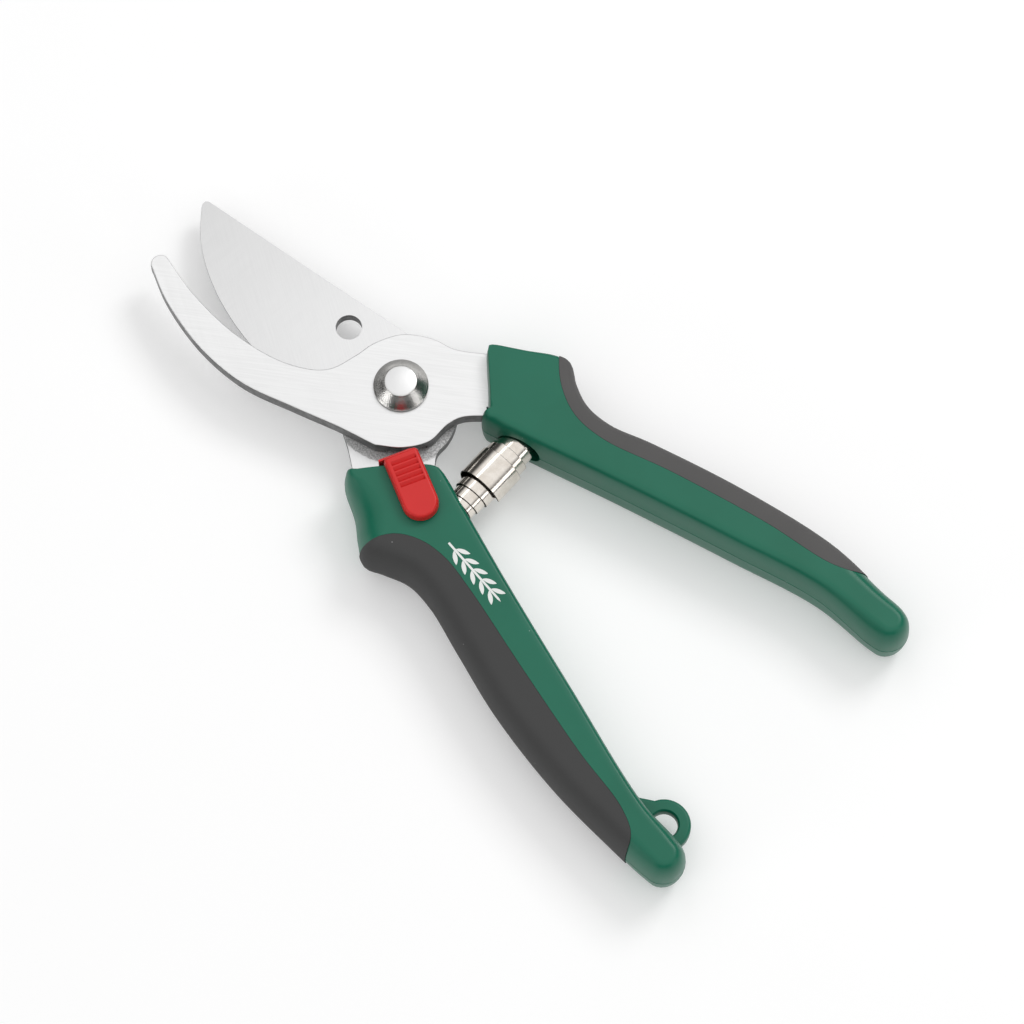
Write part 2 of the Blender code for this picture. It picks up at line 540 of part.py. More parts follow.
# ---------------------------------------------------------------- assembly
def build():
    for old in list(bpy.data.objects):
        bpy.data.objects.remove(old, do_unlink=True)

    plate_steel = material("ground_steel", (0.62, 0.62, 0.62), 0.35, 1.0)
    zinc_steel = material("zinc_steel", (0.50, 0.50, 0.51), 0.4, 1.0)
    nickel = material("nickel", (0.60, 0.56, 0.50), 0.15, 1.0)
    green = material("green_plastic", (0.028, 0.165, 0.105), 0.4)
    upper_rubber = material("upper_grip_rubber", (0.105, 0.103, 0.100), 0.75)
    lower_rubber = material("lower_grip_rubber", (0.062, 0.062, 0.062), 0.75)
    red = material("red_plastic", (0.62, 0.035, 0.035), 0.4)
    nylon = material("nylon", (0.75, 0.73, 0.68), 0.6)

    hook_half = axis_empty("hook_half_pivot", place=(*PIVOT, 0.0))
    blade_half = axis_empty("blade_half_pivot", place=(*PIVOT, 0.0))
    lock = axis_empty("lock_slide", blade_half, (LOCK_CENTRE[0] * MM, LOCK_CENTRE[1] * MM, 0.0))
    lock.rotation_euler[2] = LOCK_ANGLE

    hook_blade(hook_half, plate_steel)
    cutting_blade(blade_half, plate_steel)
    pivot_pieces(hook_half, zinc_steel, nickel, nylon)

    upper = handle("upper", UPPER_OUTLINE, UPPER_GRIP_EDGE, -1, hook_half, green, upper_rubber)
    tang_pocket("upper", hook_pocket(), HOOK_BOTTOM - GAP, HOOK_TOP + GAP, upper, hook_half)
    spring_seat("upper_spring_stud", "upper", upper, UPPER_SEAT, 1, UPPER_MOUTH, hook_half, zinc_steel)
    tang_pin("upper_tang_pin", "upper", HOOK_PIN, upper, hook_half, zinc_steel)

    lower = handle("lower", LOWER_OUTLINE, LOWER_GRIP_EDGE, 1, blade_half, green, lower_rubber)
    tang_pocket("lower", blade_tang(), BLADE_BOTTOM - GAP, PARTING - 0.05, lower[1:], blade_half)
    spring_seat("lower_spring_stud", "lower", lower, LOWER_SEAT, -1, LOWER_MOUTH, blade_half, zinc_steel)
    tang_pin("lower_tang_pin", "lower", BLADE_PIN, lower, blade_half, zinc_steel)
    hanging_loop(lower[1], blade_half)
    lock_space(lower[0], blade_half)

    volute_spring(hook_half, nickel)
    lock_pieces(lock, red, zinc_steel)
    detent_spring(blade_half, zinc_steel)


build()
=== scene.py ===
"""Looks of the bypass pruner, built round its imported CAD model.

Shapes are worked out in millimetres from the pivot axis, as in the CAD, and become metres
when a mesh is made.  Every visible solid of the CAD is replaced by a finer piece that lies
in the same place; pieces hidden inside the handles and the nut keep their CAD mesh.
"""
import json
import math

import bmesh
import bpy
import numpy as np
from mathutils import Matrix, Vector


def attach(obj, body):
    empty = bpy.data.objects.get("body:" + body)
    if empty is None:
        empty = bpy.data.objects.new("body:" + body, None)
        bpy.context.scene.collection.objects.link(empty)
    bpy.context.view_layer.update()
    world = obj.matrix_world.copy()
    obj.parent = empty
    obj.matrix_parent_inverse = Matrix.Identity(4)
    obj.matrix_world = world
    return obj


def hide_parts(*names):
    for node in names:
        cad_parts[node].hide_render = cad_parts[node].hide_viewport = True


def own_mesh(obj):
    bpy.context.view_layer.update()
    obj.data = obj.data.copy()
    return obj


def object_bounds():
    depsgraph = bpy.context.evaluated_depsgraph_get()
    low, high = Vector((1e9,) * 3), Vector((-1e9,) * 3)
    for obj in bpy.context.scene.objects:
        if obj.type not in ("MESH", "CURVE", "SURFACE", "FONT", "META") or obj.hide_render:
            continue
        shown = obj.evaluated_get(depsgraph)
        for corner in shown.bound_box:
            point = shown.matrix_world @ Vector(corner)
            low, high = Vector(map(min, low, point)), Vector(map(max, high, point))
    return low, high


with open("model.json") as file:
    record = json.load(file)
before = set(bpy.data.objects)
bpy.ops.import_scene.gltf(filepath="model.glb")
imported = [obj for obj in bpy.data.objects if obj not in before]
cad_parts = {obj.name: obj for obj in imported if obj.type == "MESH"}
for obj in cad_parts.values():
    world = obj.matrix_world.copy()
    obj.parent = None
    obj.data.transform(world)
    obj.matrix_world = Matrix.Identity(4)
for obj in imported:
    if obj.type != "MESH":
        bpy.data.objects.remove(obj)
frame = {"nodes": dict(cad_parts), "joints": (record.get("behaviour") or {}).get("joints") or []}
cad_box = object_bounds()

MM = 0.001
PIVOT = np.array(frame["joints"][0]["pos_m"][:2])
HOOK_HALF, BLADE_HALF, LOCK = "hook_half", "blade_half", "lock"

# Heights, mm
HANDLE_HEIGHT = 18.0
PARTING = 9.0
SEAM = 0.09                      # half of the joint line between the handle shells
BLADE_BOTTOM, BLADE_TOP = 5.3, 8.5
HOOK_BOTTOM, HOOK_TOP = 8.8, 13.2

GAP = 0.3                        # clearance between neighbouring pieces
BEVEL_WIDTH = 5.3                # of the cutting edge, on the blade's far face

# Handles
WALL_DRAFT = 0.5                 # lean of a handle wall from parting face to top
WALL_RINGS = 14                  # outlines stacked between parting face and top
GRIP_SKIN = 2.0                  # depth of the soft skin let into a handle
GRIP_PROUD = 0.25                # how far the skin stands out of the hard plastic

# Pivot
BOLT_RADIUS = 3.7
BOLT_HOLE = 4.0
FLANGE_RADIUS = 6.8
HUB_RADIUS = 14.6                # of the cutting blade, round the pivot
HOLE_CENTRE, HOLE_RADIUS = (21.8, -3.1), 3.3    # through the cutting blade
WASHER_RADIUS, WASHER_THICKNESS = 7.5, 0.7
NUT_RADIUS = 6.35                # from its axis to a corner
CLOSING_TURN = math.radians(22)  # blade half, from fully open to closed

# Volute spring, on an axis along Y between the handles
SPRING_X, SPRING_Z = -31.0, PARTING
SPRING_LOW, SPRING_HIGH = -12.9, 11.3
SPRING_MIDDLE = 0.7
SPRING_LEAN = 0.06               # sideways drift of the turns for each mm along the axis
UPPER_SEAT, LOWER_SEAT = -14.0, 12.0    # floors of the recesses that hold its ends
UPPER_MOUTH, LOWER_MOUTH = 5.5, 4.6     # radii of those recesses

# Lock
LOCK_CENTRE = (-21.6, 17.3)
LOCK_ANGLE = math.radians(-23)
BUTTON_BOTTOM, BUTTON_TOP = 18.3, 21.0
NOTCH_END = 15.85                # of the hub's notches for the catch, ahead of LOCK_CENTRE
NOTCH_WIDTH, NOTCH_TOP = 3.8, 10.7
PAD_RADIUS = 4.5                 # of the thumb pad's rear end, and half of its width

# Hanging loop, beside the rear end of the lower handle
LOOP_CENTRE = (-122.8, 33.0)
LOOP_RADIUS, LOOP_HOLE_RADIUS = 6.4, 3.25
LOOP_BOTTOM, LOOP_TOP = 4.9, 8.5
LOOP_ROUNDING = 0.9


# ---------------------------------------------------------------- outlines
def spline(points, step, closed=False):
    """Centripetal curve through points of any dimension, sampled about every step mm."""
    pts = np.array(points, dtype=float)
    if closed:
        pts = np.vstack([pts[-1], pts, pts[0], pts[1]])
    else:
        pts = np.vstack([2 * pts[0] - pts[1], pts, 2 * pts[-1] - pts[-2]])
    curve = []
    for a, b, c, d in zip(pts[:-3], pts[1:-2], pts[2:-1], pts[3:]):
        t1 = math.sqrt(np.linalg.norm((b - a)[:2])) or 1.0
        t2 = t1 + math.sqrt(np.linalg.norm((c - b)[:2]))
        t3 = t2 + (math.sqrt(np.linalg.norm((d - c)[:2])) or 1.0)
        count = max(1, round(np.linalg.norm((c - b)[:2]) / step))
        for t in np.linspace(t1, t2, count, endpoint=False):
            ab = a + (b - a) * t / t1
            bc = b + (c - b) * (t - t1) / (t2 - t1)
            cd = c + (d - c) * (t - t2) / (t3 - t2)
            abc = ab + (bc - ab) * t / t2
            bcd = bc + (cd - bc) * (t - t1) / (t3 - t1)
            curve.append(abc + (bcd - abc) * (t - t1) / (t2 - t1))
    if not closed:
        curve.append(pts[-2])
    return np.array(curve)


def arc(centre, radius, start, end, steps):
    """Points on an arc, angles in degrees, both ends included."""
    angles = np.radians(np.linspace(start, end, steps + 1))
    return np.stack([centre[0] + radius * np.cos(angles), centre[1] + radius * np.sin(angles)], 1)


def circle(centre, radius, steps):
    return arc(centre, radius, 0, 360, steps)[:-1]


def inset(outline, distance):
    """Outline moved inwards by one distance, or by one per point (counter-clockwise outline)."""
    xy = np.asarray(outline, dtype=float)[:, :2]
    before = xy - np.roll(xy, 1, axis=0)
    after = np.roll(xy, -1, axis=0) - xy
    before /= np.linalg.norm(before, axis=1)[:, None]
    after /= np.linalg.norm(after, axis=1)[:, None]
    middle = before + after
    middle /= np.linalg.norm(middle, axis=1)[:, None]
    stretch = 1.0 / np.maximum(np.sum(middle * after, axis=1), 0.6)
    inward = np.stack([-middle[:, 1], middle[:, 0]], 1)
    return xy + inward * (np.asarray(distance) * stretch).reshape(-1, 1)


def eased_inset(outline, distance, reach=3):
    """Outline moved inwards, each point's move averaged with its neighbours' moves."""
    moves = inset(outline, distance) - outline[:, :2]
    total = sum(np.roll(moves, shift, axis=0) for shift in range(-reach, reach + 1))
    return outline[:, :2] + total / (2 * reach + 1)


def turned(points, angle):
    """Points turned about the pivot."""
    c, s = math.cos(angle), math.sin(angle)
    return np.asarray(points, dtype=float) @ np.array([[c, s], [-s, c]])


def on_lock(points):
    """Points given ahead of and left of the lock button's centre, as pivot coordinates."""
    return turned(points, LOCK_ANGLE) + np.array(LOCK_CENTRE)


# ---------------------------------------------------------------- meshes
def mesh_object(name, verts, faces, mat=None):
    """An object at the frame's origin from vertices in mm about the pivot axis."""
    co = np.array(verts, dtype=float) * MM
    co[:, :2] += PIVOT
    mesh = bpy.data.meshes.new(name)
    mesh.from_pydata(co.tolist(), [], faces)
    bm = bmesh.new()
    bm.from_mesh(mesh)
    bmesh.ops.recalc_face_normals(bm, faces=bm.faces)
    bm.to_mesh(mesh)
    bm.free()
    obj = bpy.data.objects.new(name, mesh)
    bpy.context.scene.collection.objects.link(obj)
    if mat:
        obj.data.materials.append(mat)
    return obj


def stack(name, rings, mat=None):
    """Closed solid through outlines of equal length, each given with its height."""
    count = len(rings[0][0])
    verts = [(p[0], p[1], z) for outline, z in rings for p in outline]
    faces = [list(range(count))[::-1]]
    for level in range(len(rings) - 1):
        low, high = level * count, (level + 1) * count
        for i in range(count):
            j = (i + 1) % count
            faces.append((low + i, low + j, high + j, high + i))
    faces.append([(len(rings) - 1) * count + i for i in range(count)])
    return mesh_object(name, verts, faces, mat)


def plate(name, outline, bottom, top, mat=None):
    return stack(name, [(outline, bottom), (outline, top)], mat)


def turned_solid(name, profile, steps, mat=None, place=None):
    """Solid of revolution about Z.  A profile that starts and ends at radius 0 is closed
    by fans, any other profile is closed into a ring."""
    place = place or (lambda x, y, z: (x, y, z))
    solid = profile[0][0] == 0
    inner = profile[1:-1] if solid else profile
    verts, faces = [], []
    for radius, height in inner:
        verts += [place(p[0], p[1], height) for p in circle((0, 0), radius, steps)]
    bands = len(inner) - 1 if solid else len(inner)
    for band in range(bands):
        low, high = band * steps, ((band + 1) % len(inner)) * steps
        for i in range(steps):
            j = (i + 1) % steps
            faces.append((low + i, low + j, high + j, high + i))
    if solid:
        for end, base in ((0, 0), (-1, (len(inner) - 1) * steps)):
            tip = len(verts)
            verts.append(place(0, 0, profile[end][1]))
            faces += [(tip, base + i, base + (i + 1) % steps) for i in range(steps)]
    return mesh_object(name, verts, faces, mat)


def carve(obj, *cuts):
    """Applies Boolean cuts, each an object or an (operation, object) pair; returns the cutters."""
    cutters = []
    for cut in cuts:
        operation, cutter = cut if isinstance(cut, tuple) else ("DIFFERENCE", cut)
        mod = obj.modifiers.new("cut", "BOOLEAN")
        mod.operation = operation
        mod.solver = "EXACT"
        mod.object = cutter
        cutters.append(cutter)
    depsgraph = bpy.context.evaluated_depsgraph_get()
    mesh = bpy.data.meshes.new_from_object(obj.evaluated_get(depsgraph))
    obj.modifiers.clear()
    obj.data = mesh
    return cutters


def discard(cutters):
    for cutter in set(cutters):
        bpy.data.objects.remove(cutter, do_unlink=True)


def paint_side_shade(obj, mat):
    """Gives the upright faces of a plate their own dark material: painted shade on the plate's sides.
    """
    obj.data.materials.append(mat)
    for face in obj.data.polygons:
        if abs(face.normal.z) < 0.3:
            face.material_index = 1


def keep_in_box(mesh):
    """Pulls vertices that stand outside the CAD model's box back onto it."""
    co = np.empty(len(mesh.vertices) * 3)
    mesh.vertices.foreach_get("co", co)
    co = np.clip(co.reshape(-1, 3), cad_box[0], cad_box[1])
    mesh.vertices.foreach_set("co", co.ravel())
    mesh.update()


def finish_piece(obj, body, nodes, sharp=35.0):
    """Shades a piece, lets it ride on its body and hides the CAD nodes that it stands for."""
    keep_in_box(obj.data)
    obj.data.shade_smooth()
    obj.data.set_sharp_from_angle(angle=math.radians(sharp))
    flat_faces = obj.modifiers.new("even_normals", "WEIGHTED_NORMAL")
    flat_faces.keep_sharp = True
    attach(obj, body)
    if nodes:
        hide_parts(*nodes)
    return obj


# ---------------------------------------------------------------- materials
def feed(tree, socket, value):
    """Links an input to another node's output, or sets it to a number or a colour."""
    if isinstance(value, bpy.types.NodeSocket):
        tree.links.new(value, socket)
    else:
        socket.default_value = value


def add(tree, kind, settings=(), **inputs):
    """A node with its settings and its inputs, each a number, a colour or another's output."""
    node = tree.nodes.new(kind)
    for key, value in dict(settings).items():
        setattr(node, key, value)
    for key, value in inputs.items():
        feed(tree, node.inputs[key.replace("_", " ")], value)
    return node


def arithmetic(tree, operation, *values):
    """One step of arithmetic on numbers and other nodes' outputs."""
    node = add(tree, "ShaderNodeMath", {"operation": operation})
    for socket, value in zip(node.inputs, values):
        feed(tree, socket, value)
    return node.outputs[0]


def place_nodes(tree, scale=(1, 1, 1), turn=0.0):
    """Object coordinates in mm about the pivot, turned about Z and then scaled."""
    place = add(tree, "ShaderNodeTexCoord").outputs["Object"]
    shift = add(tree, "ShaderNodeVectorMath", {"operation": "SUBTRACT"}).outputs[0]
    tree.links.new(place, shift.node.inputs[0])
    shift.node.inputs[1].default_value = (*PIVOT, 0.0)
    grow = tuple(s / MM for s in scale)
    rotated = add(tree, "ShaderNodeMapping", Vector=shift, Rotation=(0, 0, turn))
    return add(tree, "ShaderNodeMapping", Vector=rotated.outputs[0], Scale=grow).outputs[0]


def noise(tree, size, detail=2.0, scale=(1, 1, 1), turn=0.0):
    """Noise from 0 to 1 with blobs of about size mm, stretched by scale."""
    place = place_nodes(tree, scale, turn)
    return add(tree, "ShaderNodeTexNoise", Vector=place, Scale=1 / size, Detail=detail).outputs["Fac"]


def remap(tree, value, low, high, to_low, to_high, smooth=False):
    """Value carried from one range to another, and held at the new range's ends."""
    kind = {"interpolation_type": "SMOOTHSTEP"} if smooth else ()
    node = add(tree, "ShaderNodeMapRange", kind, Value=value, From_Min=low, From_Max=high,
               To_Min=to_low, To_Max=to_high)
    return node.outputs[0]


def mix(tree, factor, a, b):
    """Colour a where the factor is 0 and b where it is 1; each is a triple or an output."""
    node = add(tree, "ShaderNodeMix", {"data_type": "RGBA"})
    feed(tree, node.inputs[0], factor)
    for index, colour in ((6, a), (7, b)):
        feed(tree, node.inputs[index], (*colour, 1.0) if isinstance(colour, tuple) else colour)
    return node.outputs[2]


def bump(tree, heights):
    """Bumps one on another; each is a height from 0 to 1 and its depth in mm."""
    normal = None
    for height, depth in heights:
        node = add(tree, "ShaderNodeBump", Height=height, Distance=depth * MM, Strength=1.0)
        if normal:
            tree.links.new(normal, node.inputs["Normal"])
        normal = node.outputs[0]
    return normal


def ragged_radius(tree, parts, wobble):
    """Distance from the pivot's axis in mm, made uneven by a noise."""
    flat = add(tree, "ShaderNodeCombineXYZ", X=parts[0], Y=parts[1]).outputs[0]
    radius = add(tree, "ShaderNodeVectorMath", {"operation": "LENGTH"})
    tree.links.new(flat, radius.inputs[0])
    return arithmetic(tree, "MULTIPLY_ADD", wobble, 0.5, radius.outputs["Value"])


def finish_material(mat, colour, roughness, normal, **constants):
    """Links what varies over the surface and sets what is the same all over it."""
    shader = mat.node_tree.nodes["Principled BSDF"]
    mat.node_tree.links.new(colour, shader.inputs["Base Color"])
    mat.node_tree.links.new(roughness, shader.inputs["Roughness"])
    if normal:
        mat.node_tree.links.new(normal, shader.inputs["Normal"])
    for key, value in constants.items():
        shader.inputs[key.replace("_", " ")].default_value = value
    return mat


def new_material(name):
    mat = bpy.data.materials.new(name)
    mat.use_nodes = True
    return mat, mat.node_tree


def ground_steel(name, light, dark, grind_turn):
    """Flat-ground blade steel: fine crossing grind lines and faint cloudiness."""
    mat, tree = new_material(name)
    lines = noise(tree, 0.5, 3.0, (0.05, 1.6, 1), grind_turn)
    cross = noise(tree, 0.5, 2.0, (0.04, 1.2, 1), grind_turn + 1.1)
    cloud = noise(tree, 18.0, 2.0)
    tone = mix(tree, remap(tree, lines, 0.3, 0.7, 0, 1), dark, light)
    colour = mix(tree, remap(tree, cloud, 0.35, 0.7, 0.0, 0.35), tone, light)
    roughness = remap(tree, cross, 0.3, 0.7, 0.34, 0.42)
    return finish_material(mat, colour, roughness, bump(tree, [(lines, 0.0025), (cross, 0.0025)]),
                           Metallic=1.0)


def blade_steel():
    """The cutting blade's steel with painted shade darkening it towards the tip, and a rough blasted
    ring round the hub.
    """
    mat = ground_steel("blade_steel", (0.735, 0.735, 0.735), (0.69, 0.69, 0.692), 0.5)
    tree = mat.node_tree
    shader = tree.nodes["Principled BSDF"]
    smooth_colour = shader.inputs["Base Color"].links[0].from_socket
    smooth_rough = shader.inputs["Roughness"].links[0].from_socket
    smooth_normal = shader.inputs["Normal"].links[0].from_socket
    parts = add(tree, "ShaderNodeSeparateXYZ", Vector=place_nodes(tree)).outputs
    # Painted shade: the steel's colour darkens towards the tip.
    tip_painted_shade = remap(tree, parts[0], 10.0, 70.0, 0, 0.55)
    smooth_colour = mix(tree, tip_painted_shade, smooth_colour, (0.485, 0.485, 0.485))
    in_ring = remap(tree, ragged_radius(tree, parts, noise(tree, 1.2)), 19.0, 19.3, 1, 0)
    behind = remap(tree, arithmetic(tree, "SUBTRACT", parts[1], parts[0]), 5.0, 5.5, 0, 1)
    mask = arithmetic(tree, "MULTIPLY", in_ring, behind)
    grit = noise(tree, 0.45, 4.0)
    pitted = remap(tree, grit, 0.35, 0.65, 0, 1)
    rough_colour = mix(tree, pitted, (0.40, 0.40, 0.40), (0.74, 0.74, 0.74))
    colour = mix(tree, mask, smooth_colour, rough_colour)
    height = arithmetic(tree, "MULTIPLY", grit, mask)
    grain = add(tree, "ShaderNodeBump", Height=height, Distance=0.06 * MM, Normal=smooth_normal)
    rough = add(tree, "ShaderNodeMix", {"data_type": "FLOAT"})
    for index, value in ((0, mask), (2, smooth_rough), (3, 0.62)):
        feed(tree, rough.inputs[index], value)
    return finish_material(mat, colour, rough.outputs[0], grain.outputs[0], Metallic=1.0)


def plated(name, light, dark, low, high):
    """Plated metal with faint streaks and stains."""
    mat, tree = new_material(name)
    stain = noise(tree, 2.2, 3.0)
    fine = noise(tree, 0.35, 2.0)
    colour = mix(tree, remap(tree, stain, 0.3, 0.7, 0, 1), dark, light)
    roughness = remap(tree, fine, 0.3, 0.7, low, high)
    return finish_material(mat, colour, roughness, bump(tree, [(fine, 0.002)]), Metallic=1.0)


def bolt_nickel():
    """Polished cone and frosted face of the pivot bolt."""
    mat, tree = new_material("bolt_nickel")
    parts = add(tree, "ShaderNodeSeparateXYZ", Vector=place_nodes(tree)).outputs
    grain = noise(tree, 0.28, 3.0)
    face = remap(tree, ragged_radius(tree, parts, grain), 3.7, 4.5, 1, 0, smooth=True)
    colour = mix(tree, face, (0.60, 0.59, 0.57), (0.78, 0.78, 0.78))
    roughness = remap(tree, face, 0, 1, 0.2, 0.5)
    speckle = remap(tree, grain, 0.3, 0.7, 0, 1)
    return finish_material(mat, colour, roughness, bump(tree, [(speckle, 0.02)]), Metallic=1.0)


def moulded(name, light, dark, low, high, depth, shine=0.36, grain_size=0.3):
    """Moulded plastic or rubber: fine grain, slow drift of tone and scattered pale flecks."""
    mat, tree = new_material(name)
    drift = noise(tree, 14.0, 3.0)
    grain = noise(tree, grain_size, 3.0)
    tone = mix(tree, remap(tree, drift, 0.3, 0.7, 0, 1), dark, light)
    fleck = add(tree, "ShaderNodeTexVoronoi", Vector=place_nodes(tree), Scale=1 / 7.0)
    speck = remap(tree, fleck.outputs["Distance"], 0.018, 0.024, 0.8, 0)
    pale = tuple(min(1.0, 0.25 + channel) for channel in light)
    colour = mix(tree, speck, tone, pale)
    roughness = remap(tree, drift, 0.3, 0.7, low, high)
    return finish_material(mat, colour, roughness, bump(tree, [(grain, depth)]),
                           Specular_IOR_Level=shine)


def rubber(name, light, dark):
    """Soft skin of a handle: rougher and of deeper grain than the hard plastics."""
    return moulded(name, light, dark, low=0.7, high=0.8, depth=0.02)


def finishes():
    """Every material, under the short name that the pieces ask for."""
    return {
        "hook": ground_steel("hook_steel", (0.755, 0.755, 0.755), (0.70, 0.70, 0.70), 2.5),
        "blade": blade_steel(),
        # Dark steel for the plates' upright sides: painted shade.
        "edge": plated("plate_sides_painted_shade", (0.20, 0.20, 0.20), (0.10, 0.10, 0.10), 0.35, 0.5),
        # Near-black edges of the spring's strip: painted shade in the gaps between the turns.
        "spring_gap_shade": plated("spring_gap_painted_shade", (0.10, 0.09, 0.08), (0.04, 0.035, 0.03), 0.35, 0.5),
        "bolt": bolt_nickel(),
        "spring": plated("spring_nickel", (0.84, 0.79, 0.73), (0.72, 0.66, 0.59), 0.10, 0.2),
        "zinc": plated("zinc_steel", (0.68, 0.68, 0.69), (0.52, 0.52, 0.53), 0.3, 0.42),
        "green": moulded("green_plastic", (0.0052, 0.140, 0.082), (0.0045, 0.128, 0.074),
                         0.34, 0.4, 0.008),
        "upper_rubber": rubber("upper_grip_rubber", (0.100, 0.097, 0.096), (0.085, 0.083, 0.082)),
        "lower_rubber": rubber("lower_grip_rubber", (0.056, 0.056, 0.056), (0.049, 0.049, 0.049)),
        "red": moulded("red_plastic", (0.66, 0.020, 0.019), (0.61, 0.016, 0.015), 0.36, 0.44, 0.006),
        "nylon": moulded("nylon", (0.72, 0.70, 0.64), (0.66, 0.64, 0.58), 0.5, 0.6, 0.006),
        "print": moulded("white_print", (0.86, 0.87, 0.85), (0.78, 0.80, 0.78), 0.5, 0.6, 0.004),
    }


# ---------------------------------------------------------------- blades
def rounded_plate(name, outline, bottom, top, radius, mat=None):
    """Plate with rounded edges on both faces."""
    rings = []
    for turn in np.radians((0, 30, 60, 90)):
        inwards, upwards = 1 - math.sin(turn), 1 - math.cos(turn)
        rings.append((inset(outline, radius * inwards), bottom + radius * upwards))
    for turn in np.radians((0, 30, 60, 90)):
        inwards, downwards = 1 - math.cos(turn), 1 - math.sin(turn)
        rings.append((inset(outline, radius * inwards), top - radius * downwards))
    return stack(name, rings, mat)


def hook_tang():
    front = np.array([(-18.9, -11.0), (-23.5, -16.0), (-37.0, -17.4), (-46.0, -19.4), (-74.0, -27.9)])
    end = arc((-75.0, -30.5), 2.6, 75, 255, 4)
    back = np.array([(-45.0, -25.6), (-30.0, -22.6), (-17.0, -21.5), (-11.2, -19.3)])
    return np.vstack([front, end, back])


def hook_outline(step):
    """Hook, hub and tang of the upper jaw, counter-clockwise."""
    tip = arc((65.6, 19.3), 2.5, -75, 55, 12)
    outer = spline([(67.0, 21.3), (57.6, 25.1), (42.7, 27.8), (28.5, 27.0), (14.6, 22.4),
                    (2.8, 18.1), (-6.5, 15.3)], step)[1:]
    hub = spline([(-6.5, 15.3), (-11.9, 10.9), (-15.2, 5.2), (-15.2, -1.0), (-16.4, -4.9),
                  (-20.8, -9.8)], step / 2)[1:]
    neck = spline([(-9.3, -21.4), (-2.3, -16.3), (3.5, -14.4), (9.5, -10.1), (12.9, -3.3),
                   (13.8, 2.3), (16.2, 9.8), (24.5, 15.7), (38.9, 19.2), (54.1, 19.1),
                   (66.2, 16.9)], step * 0.75)[:-1]
    return np.vstack([tip, outer, hub, hook_tang(), neck])


def hook_blade(mat, side_mat):
    blade = rounded_plate("hook_plate", hook_outline(1.0), HOOK_BOTTOM, HOOK_TOP, 0.25, mat)
    rear, tip, half = 8.0, NOTCH_END, NOTCH_WIDTH / 2
    nose = on_lock([(rear, -half), (tip, -half), (tip, half), (rear, half)])
    notches = [plate("catch_notch", turned(nose, angle), HOOK_BOTTOM - 0.8, NOTCH_TOP)
               for angle in (0.0, CLOSING_TURN)]
    discard(carve(blade, plate("bore", circle((0, 0), BOLT_HOLE, 64), 0, 20), *notches))
    paint_side_shade(blade, side_mat)
    return finish_piece(blade, HOOK_HALF, ["hook_blade"])


def blade_tang():
    front = np.array([(-9.4, 21.3), (-17.0, 25.8), (-29.0, 26.5), (-45.0, 28.4), (-75.0, 34.2)])
    end = arc((-75.6, 31.2), 3.0, 80, 250, 4)
    back = np.array([(-45.0, 20.4), (-30.0, 17.2), (-23.0, 13.5), (-20.0, 10.4)])
    return np.vstack([front, end, back])


def unground(points):
    """Outline points that take no share of the bevel."""
    return np.column_stack([points, np.zeros(len(points))])


def blade_outline(step):
    """Cutting blade, hub and tang, counter-clockwise, with each point's share of the bevel."""
    tip = [(71.2, -2.1, 0.0), (71.9, -1.5, 0.0), (71.9, -0.5, 0.0)]
    edge = spline([(71.3, 0.4, 0.0), (66.1, 5.8, 0.55), (59.4, 10.4, 1.0), (48.5, 14.9, 1.0),
                   (34.7, 17.5, 1.0), (24.0, 17.1, 0.6), (15.0, 15.0, 0.0)], step)
    heel = spline([(15.0, 15.0, 0.0), (8.0, 15.4, 0.0), (0.9, 18.4, 0.0), (-7.3, 23.5, 0.0)], step)[1:]
    hub_rear = spline([(-20.9, 9.2, 0), (-17.6, 5.0, 0), (-17.2, 1.1, 0), (-15.8, -3.0, 0),
                       (-12.0, -8.4, 0)], step / 2)[:-1]
    hub = arc((0, 0), HUB_RADIUS, 215, 300, 20)
    spine = [(10.8, -12.1, 0.0), (40.3, -7.1, 0.0)]
    return np.vstack([tip, edge, heel, unground(blade_tang()), hub_rear, unground(hub), spine])


def cutting_blade(mat, side_mat):
    outline = blade_outline(1.0)
    share = outline[:, 2]
    rings = [(inset(outline, share * (BEVEL_WIDTH + 0.2) + 0.1), BLADE_BOTTOM),
             (inset(outline, share * BEVEL_WIDTH), BLADE_BOTTOM + 0.1),
             (outline[:, :2], BLADE_TOP - 0.18), (inset(outline, 0.02), BLADE_TOP - 0.06),
             (inset(outline, 0.08), BLADE_TOP)]
    blade = stack("blade_plate", rings, mat)
    discard(carve(blade, plate("bore", circle((0, 0), BOLT_HOLE, 64), 0, 20),
                  plate("hole", circle(HOLE_CENTRE, HOLE_RADIUS, 48), 0, 20)))
    paint_side_shade(blade, side_mat)
    return finish_piece(blade, BLADE_HALF, ["cutting_blade"], 20.0)


# ---------------------------------------------------------------- pivot
def rounding(centre_r, centre_z, radius, start, end, steps):
    """Profile points of a rounded corner, angles in degrees from the outward direction."""
    return [tuple(p) for p in arc((centre_r, centre_z), radius, start, end, steps)]


